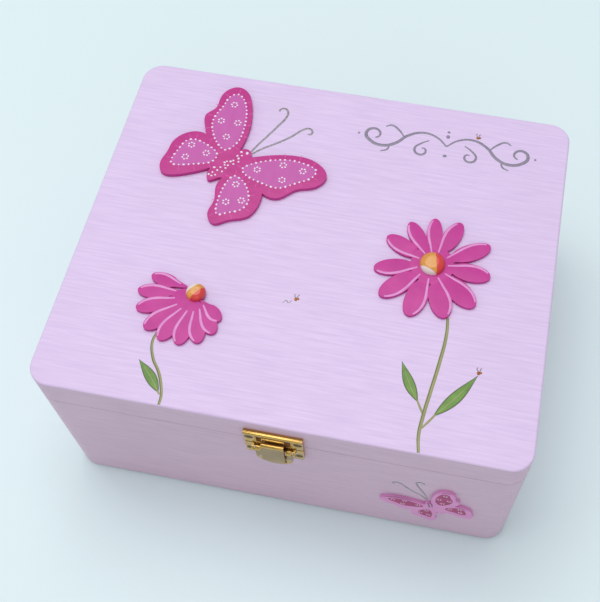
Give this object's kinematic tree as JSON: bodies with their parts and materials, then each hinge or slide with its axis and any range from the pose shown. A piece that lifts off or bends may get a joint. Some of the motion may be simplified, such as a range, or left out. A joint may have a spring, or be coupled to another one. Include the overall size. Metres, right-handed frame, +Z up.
{
  "type": "ballerina jewellery box",
  "caption": "Lilac painted wooden jewellery box with hinged lid, toggle catch, butterfly and flower relief, lined interior and a clockwork dancer.",
  "frame": {"origin": "centre of the felt base, on the surface it stands on", "axes": "+X along the length, +Y from the catch to the hinges, +Z up"},
  "size_m": [0.21, 0.1988, 0.103],
  "materials": {
    "lilac_case": "matte",
    "lilac_lid": "brushed paint",
    "inner_wood": "satin",
    "felt": "matte",
    "lining": "satin weave",
    "velvet": "velvet",
    "stage_card": "satin",
    "butterfly_pink": "painted",
    "butterfly_pale": "painted",
    "petal_pink": "painted",
    "bead_orange": "painted",
    "brass": "polished",
    "screw_brass": "satin",
    "steel": "satin",
    "chrome": "polished",
    "mirror_glass": "polished",
    "dancer": "satin",
    "tulle": "sheer"
  },
  "bodies": {
    "case": {"front_wall": "lilac_case", "back_wall": "lilac_case", "left_wall": "lilac_case", "right_wall": "lilac_case", "base_panel": "inner_wood", "base_felt": "felt", "floor_lining": "lining", "wall_linings": "lining", "stage_deck": "stage_card", "stage_front": "lining", "stage_side": "lining", "divider_long": "lining", "divider_cross": "lining", "ring_rolls": "velvet", "front_butterfly": "butterfly_pale", "hinge_case_leaves": "brass", "hinge_pins": "steel", "hinge_case_screws": "screw_brass", "catch_base": "brass", "catch_base_screws": "screw_brass", "catch_pin": "chrome", "key_escutcheon": "brass", "bedplate": "steel", "movement_screws": "steel", "movement_brackets": "brass", "comb": "steel"},
    "lid": {"lid_top": "lilac_lid", "lid_front_rail": "lilac_case", "lid_back_rail": "lilac_case", "lid_left_rail": "lilac_case", "lid_right_rail": "lilac_case", "lid_lining": "lining", "mirror": "mirror_glass", "mirror_frame": "brass", "butterfly_applique": "butterfly_pink", "daisy_petals": "petal_pink", "daisy_centre": "bead_orange", "coneflower_petals": "petal_pink", "coneflower_centre": "bead_orange", "hinge_lid_leaves": "brass", "hinge_lid_screws": "screw_brass", "catch_keeper": "brass", "keeper_screws": "screw_brass"},
    "lever": {"catch_lever": "brass", "catch_hook_pin": "chrome"},
    "hook": {"catch_hook": "brass"},
    "winder": {"winding_arbor": "steel", "winding_key": "brass", "mainspring": "steel"},
    "barrel": {"spring_barrel": "brass"},
    "cylinder": {"music_cylinder": "brass", "cylinder_arbor": "steel", "cylinder_gear": "brass"},
    "governor": {"governor_wheel": "brass"},
    "fan": {"governor_fan": "steel"},
    "turntable": {"ballerina_spindle": "brass", "ballerina_spring": "steel"},
    "dancer": {"ballerina_figure": "dancer", "ballerina_tutu": "tulle"},
    "wire": {"stop_wire": "steel"}
  },
  "joints": [
    {"name": "lid_hinge", "type": "hinge", "parent": "case", "child": "lid", "pos_m": [0, 0.0898, 0.08115], "axis": [-1, 0, 0], "range_deg": [0, 95]},
    {"name": "catch_lever_swing", "type": "hinge", "parent": "case", "child": "lever", "pos_m": [0, -0.0901, 0.0789], "axis": [-1, 0, 0], "range_deg": [0, 110]},
    {"name": "catch_hook_swing", "type": "hinge", "parent": "lever", "child": "hook", "pos_m": [0, -0.0902, 0.07], "axis": [-1, 0, 0], "range_deg": [-110, 0]},
    {"name": "key_wind", "type": "hinge", "parent": "case", "child": "winder", "pos_m": [-0.07, 0.09, 0.023], "axis": [0, 1, 0], "continuous": true},
    {"name": "cylinder_spin", "type": "hinge", "parent": "case", "child": "cylinder", "pos_m": [-0.045, 0.053, 0.023], "axis": [1, 0, 0], "continuous": true},
    {"name": "barrel_spin", "type": "hinge", "parent": "case", "child": "barrel", "pos_m": [-0.07, 0.06, 0.023], "axis": [0, 1, 0], "continuous": true},
    {"name": "governor_spin", "type": "hinge", "parent": "case", "child": "governor", "pos_m": [-0.033, 0.06445, 0.023], "axis": [1, 0, 0], "continuous": true},
    {"name": "fan_spin", "type": "hinge", "parent": "case", "child": "fan", "pos_m": [-0.0281, 0.0722, 0.03], "axis": [0, 0, 1], "continuous": true},
    {"name": "turntable_spin", "type": "hinge", "parent": "case", "child": "turntable", "pos_m": [-0.0422, 0.053, 0.041], "axis": [0, 0, 1], "continuous": true},
    {"name": "dancer_sway", "type": "hinge", "parent": "turntable", "child": "dancer", "pos_m": [-0.0422, 0.053, 0.045], "axis": [1, 0, 0], "range_deg": [-12, 12], "stiffness_Nm_per_rad": 0.02},
    {"name": "stop_wire_slide", "type": "slide", "parent": "case", "child": "wire", "axis": [0, 0, 1], "range_m": [0, 0.005]}
  ],
  "couplings": [
    {"joint": "catch_hook_swing", "follows": "catch_lever_swing", "ratio": -1},
    {"joint": "barrel_spin", "follows": "cylinder_spin", "ratio": -0.25},
    {"joint": "governor_spin", "follows": "cylinder_spin", "ratio": -4},
    {"joint": "fan_spin", "follows": "cylinder_spin", "ratio": 60},
    {"joint": "turntable_spin", "follows": "cylinder_spin", "ratio": -1},
    {"joint": "stop_wire_slide", "follows": "lid_hinge", "m_per_rad": 0.003}
  ]
}
